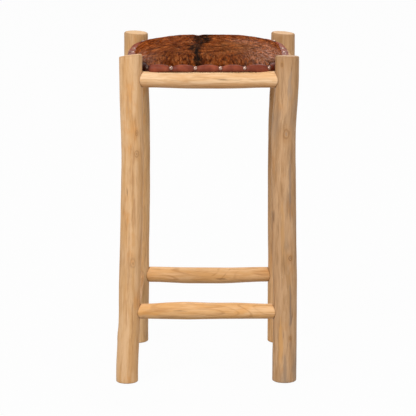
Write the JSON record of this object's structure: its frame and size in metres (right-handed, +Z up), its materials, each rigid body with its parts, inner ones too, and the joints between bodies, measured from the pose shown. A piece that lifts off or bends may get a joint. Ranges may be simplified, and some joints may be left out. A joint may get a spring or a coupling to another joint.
{
  "type": "counter stool",
  "caption": "Backless counter stool of sanded branch wood, with a padded seat in hair-on hide, a leather edging strip and domed nails, on levelling glides.",
  "frame": {"origin": "centre of the footprint on the floor", "axes": "+X to the stool's right as seen from the front, +Y to the back, +Z up; the front faces -Y"},
  "size_m": [0.3569, 0.3501, 0.6575],
  "materials": {
    "branch_wood": "satin clear finish on sanded branches",
    "plywood": "plain sanded plywood",
    "foam": "open-cell foam",
    "hide": "short brown hair, darker down the middle",
    "leather_strip": "smooth reddish brown, soft sheen",
    "nail_metal": "aged copper tone",
    "steel": "zinc plated",
    "glide_plastic": "dark matte"
  },
  "bodies": {
    "stool": {"leg_front_left": "branch_wood", "leg_front_right": "branch_wood", "leg_back_left": "branch_wood", "leg_back_right": "branch_wood", "seat_rail_front": "branch_wood", "seat_rail_back": "branch_wood", "seat_rail_left": "branch_wood", "seat_rail_right": "branch_wood", "stretcher_front": "branch_wood", "stretcher_back": "branch_wood", "stretcher_left": "branch_wood", "stretcher_right": "branch_wood", "seat_board": "plywood", "foam_pad": "foam", "hide_cover": "hide", "edge_strip": "leather_strip", "nails_front": "nail_metal", "nails_back": "nail_metal", "nails_left": "nail_metal", "nails_right": "nail_metal", "seat_screws": "steel", "leg_inserts": "steel"},
    "glide_front_left": {"glide_stem_front_left": "steel", "glide_pad_front_left": "glide_plastic"},
    "glide_front_right": {"glide_stem_front_right": "steel", "glide_pad_front_right": "glide_plastic"},
    "glide_back_left": {"glide_stem_back_left": "steel", "glide_pad_back_left": "glide_plastic"},
    "glide_back_right": {"glide_stem_back_right": "steel", "glide_pad_back_right": "glide_plastic"}
  },
  "joints": [
    {"name": "glide_front_left_slide", "type": "slide", "parent": "stool", "child": "glide_front_left", "axis": [0, 0, -1], "range_m": [0, 0.01]},
    {"name": "glide_front_right_slide", "type": "slide", "parent": "stool", "child": "glide_front_right", "axis": [0, 0, -1], "range_m": [-0.0017, 0.0083]},
    {"name": "glide_back_left_slide", "type": "slide", "parent": "stool", "child": "glide_back_left", "axis": [0, 0, -1], "range_m": [0, 0.01]},
    {"name": "glide_back_right_slide", "type": "slide", "parent": "stool", "child": "glide_back_right", "axis": [0, 0, -1], "range_m": [0, 0.01]}
  ]
}
